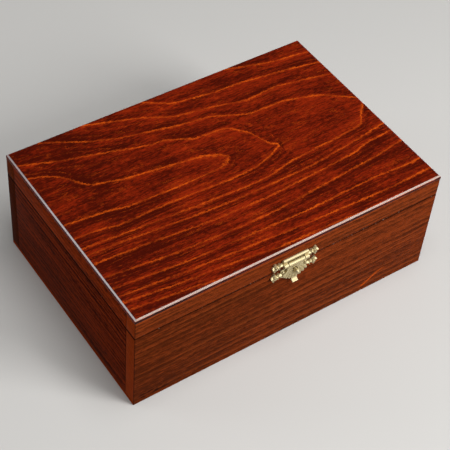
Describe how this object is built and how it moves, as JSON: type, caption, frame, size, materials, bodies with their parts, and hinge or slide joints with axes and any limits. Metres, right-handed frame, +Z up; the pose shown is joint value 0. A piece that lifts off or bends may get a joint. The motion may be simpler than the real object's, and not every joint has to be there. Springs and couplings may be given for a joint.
{
  "type": "hinged wooden box",
  "caption": "Low rectangular box of stained, lacquered wood with a flat hinged lid, a cast brass hasp latch on the front and butt hinges on the back, for keeping small things.",
  "frame": {"origin": "middle of the footprint on the underside, which stands on the table", "axes": "+X along the length, to the right seen from the front; -Y out of the front, where the latch is; +Z up"},
  "size_m": [0.22, 0.1594, 0.08],
  "materials": {
    "stained_plywood": "red-mahogany stain under gloss lacquer, wild flat-cut figure on the top",
    "stained_boards": "red-brown stain under satin lacquer, straight fine grain",
    "brass_hardware": "pale plated brass, bright on raised edges"
  },
  "bodies": {
    "base": {"base_front_board": "stained_boards", "base_back_board": "stained_boards", "base_left_board": "stained_boards", "base_right_board": "stained_boards", "base_bottom_panel": "stained_plywood", "left_hinge_base_leaf": "brass_hardware", "left_hinge_pin": "brass_hardware", "right_hinge_base_leaf": "brass_hardware", "right_hinge_pin": "brass_hardware", "hinge_base_nails": "brass_hardware", "latch_base_plate": "brass_hardware", "latch_stud": "brass_hardware", "latch_base_nails": "brass_hardware"},
    "lid": {"lid_front_rail": "stained_boards", "lid_back_rail": "stained_boards", "lid_left_rail": "stained_boards", "lid_right_rail": "stained_boards", "lid_top_panel": "stained_plywood", "left_hinge_lid_leaf": "brass_hardware", "right_hinge_lid_leaf": "brass_hardware", "hinge_lid_nails": "brass_hardware", "latch_lid_plate": "brass_hardware", "latch_hasp_pin": "brass_hardware", "latch_lid_nails": "brass_hardware"},
    "hasp": {"latch_hasp": "brass_hardware"}
  },
  "joints": [
    {"name": "lid_hinge", "type": "hinge", "parent": "base", "child": "lid", "pos_m": [0, 0.0769, 0.0635], "axis": [-1, 0, 0], "range_deg": [0, 180]},
    {"name": "hasp_hinge", "type": "hinge", "parent": "lid", "child": "hasp", "pos_m": [-0.001, -0.0773, 0.0676], "axis": [-1, 0, 0], "range_deg": [0, 160]}
  ]
}
